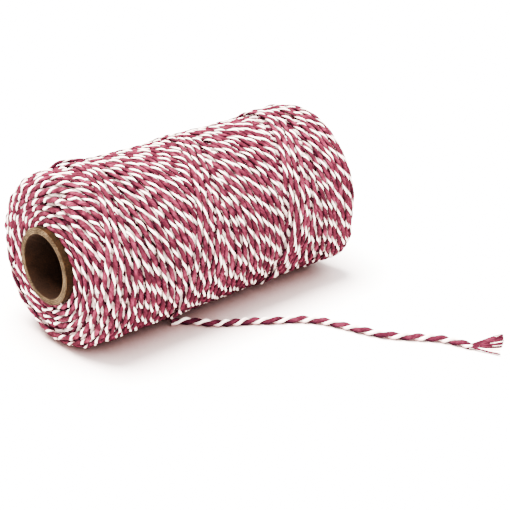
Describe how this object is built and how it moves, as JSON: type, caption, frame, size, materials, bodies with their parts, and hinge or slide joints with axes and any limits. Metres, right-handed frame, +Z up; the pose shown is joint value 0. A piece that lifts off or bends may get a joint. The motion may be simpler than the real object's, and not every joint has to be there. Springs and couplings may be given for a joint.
{
  "type": "roll of macrame cord",
  "caption": "Roll of two-tone twisted cotton cord wound on a paperboard tube, lying on its side with a loose frayed end on the floor.",
  "frame": {"origin": "on the floor under the middle of the roll, at the bottom centre of the roll without its loose end", "axes": "+X along the tube from the near face to the far face, +Z up, -Y towards the loose end"},
  "size_m": [0.1103, 0.1261, 0.0557],
  "materials": {
    "two_tone_twine": "matt twisted cotton, one crimson ply and one warm white ply",
    "kraft_paperboard": "matt"
  },
  "bodies": {
    "root": {"winding": "two_tone_twine", "core_tube": "kraft_paperboard", "loose_end": "two_tone_twine", "frayed_end": "two_tone_twine"}
  },
  "joints": []
}
